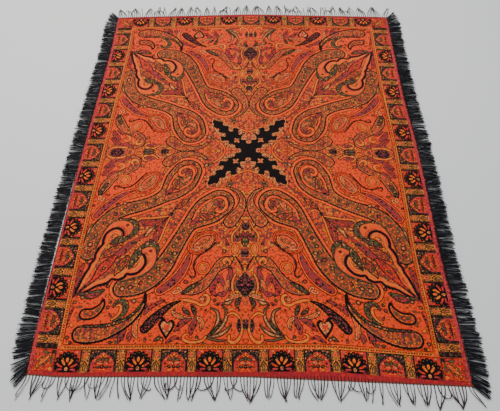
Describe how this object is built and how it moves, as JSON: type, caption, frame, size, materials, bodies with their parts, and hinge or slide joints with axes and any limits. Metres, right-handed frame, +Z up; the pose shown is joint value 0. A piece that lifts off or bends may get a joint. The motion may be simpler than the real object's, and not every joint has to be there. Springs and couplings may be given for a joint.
{
  "type": "paisley shawl",
  "caption": "Woven wool paisley shawl laid flat, with a dark cross-shaped centre, bordered edges, dense black side fringe and thin fringed ends",
  "frame": {"origin": "the middle of the cloth's underside, on the surface that the shawl lies on", "axes": "X runs across the shawl from its left side to its right, +Y runs along it from the near end to the far end, +Z is up"},
  "size_m": [1.4586, 1.8875, 0.0077],
  "materials": {
    "woven_wool": "matt twill-woven wool in orange-red, golden yellow, olive, mauve and black",
    "side_fringe_wool": "matt black wool locks",
    "end_fringe_wool": "matt dark brown warp ends"
  },
  "bodies": {
    "root": {"cloth": "woven_wool", "fringe_left": "side_fringe_wool", "fringe_right": "side_fringe_wool", "fringe_near": "end_fringe_wool", "fringe_far": "end_fringe_wool"}
  },
  "joints": []
}
